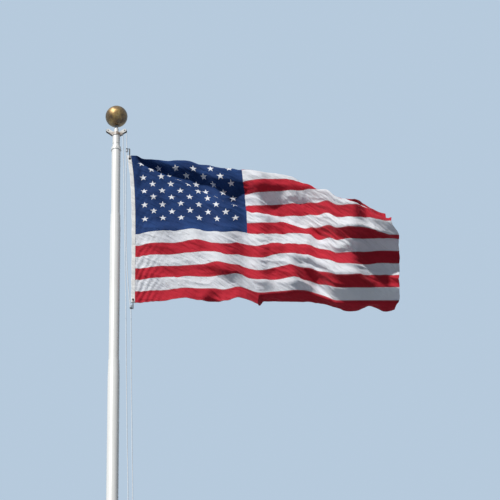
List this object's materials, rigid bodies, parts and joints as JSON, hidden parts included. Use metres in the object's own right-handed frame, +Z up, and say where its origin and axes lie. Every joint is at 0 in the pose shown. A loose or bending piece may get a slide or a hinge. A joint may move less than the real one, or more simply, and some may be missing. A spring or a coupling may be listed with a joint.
{
  "type": "flagpole",
  "caption": "Sectional tube flagpole with a revolving pulley truck, ball top, rope halyard on a cleat and a striped, starred cloth flag flying.",
  "frame": {"origin": "middle of the base flange's underside, at ground level", "axes": "+Z up the pole, +X towards the fly end of the flag, the pictured side faces -Y"},
  "size_m": [2.5476, 0.6673, 9.596],
  "materials": {
    "pole_paint": "gloss white paint, a little chalky",
    "truck_casting": "white painted casting",
    "cleat_casting": "satin cast",
    "fixings": "dull, weathered",
    "gilding": "gold finish, weathered and mottled",
    "rope": "braided synthetic rope",
    "bronze": "dark tarnished",
    "sheave_plastic": "moulded",
    "canvas": "white duck canvas",
    "blue_cloth": "woven synthetic",
    "white_cloth": "woven synthetic",
    "red_cloth": "woven synthetic"
  },
  "bodies": {
    "pole": {"shoe_base": "pole_paint", "shaft_section_1": "pole_paint", "shaft_section_2": "pole_paint", "shaft_section_3": "pole_paint", "shaft_section_4": "pole_paint", "shaft_section_5": "pole_paint", "cleat": "cleat_casting", "cleat_screws": "fixings", "truck_hub": "truck_casting", "truck_set_screws": "fixings", "truck_spindle": "fixings", "thrust_washer": "fixings", "head_nut": "fixings", "ball_nut": "fixings", "ball": "gilding", "halyard_return": "rope", "halyard_belay": "rope", "halyard_downhaul": "rope"},
    "truck": {"truck_head": "truck_casting", "pin_left": "fixings", "pin_right": "fixings", "halyard_top": "rope", "halyard_bow": "rope", "halyard_tail": "rope", "snap_top": "bronze", "snap_bottom": "bronze", "grommets": "bronze", "flag_heading": "canvas", "flag_canton": "blue_cloth", "flag_stripe_01": "red_cloth", "flag_stripe_02": "white_cloth", "flag_stripe_03": "red_cloth", "flag_stripe_04": "white_cloth", "flag_stripe_05": "red_cloth", "flag_stripe_06": "white_cloth", "flag_stripe_07": "red_cloth", "flag_stripe_08": "white_cloth", "flag_stripe_09": "red_cloth", "flag_stripe_10": "white_cloth", "flag_stripe_11": "red_cloth", "flag_stripe_12": "white_cloth", "flag_stripe_13": "red_cloth"},
    "sheave_left": {"sheave_left": "sheave_plastic"},
    "sheave_right": {"sheave_right": "sheave_plastic"}
  },
  "joints": [
    {"name": "truck_turn", "type": "hinge", "parent": "pole", "child": "truck", "pos_m": [0, 0, 9.295], "axis": [0, 0, 1], "continuous": true},
    {"name": "sheave_left_spin", "type": "hinge", "parent": "truck", "child": "sheave_left", "pos_m": [-0.07, 0, 9.349], "axis": [0, 1, 0], "continuous": true},
    {"name": "sheave_right_spin", "type": "hinge", "parent": "truck", "child": "sheave_right", "pos_m": [0.07, 0, 9.349], "axis": [0, 1, 0], "continuous": true}
  ]
}
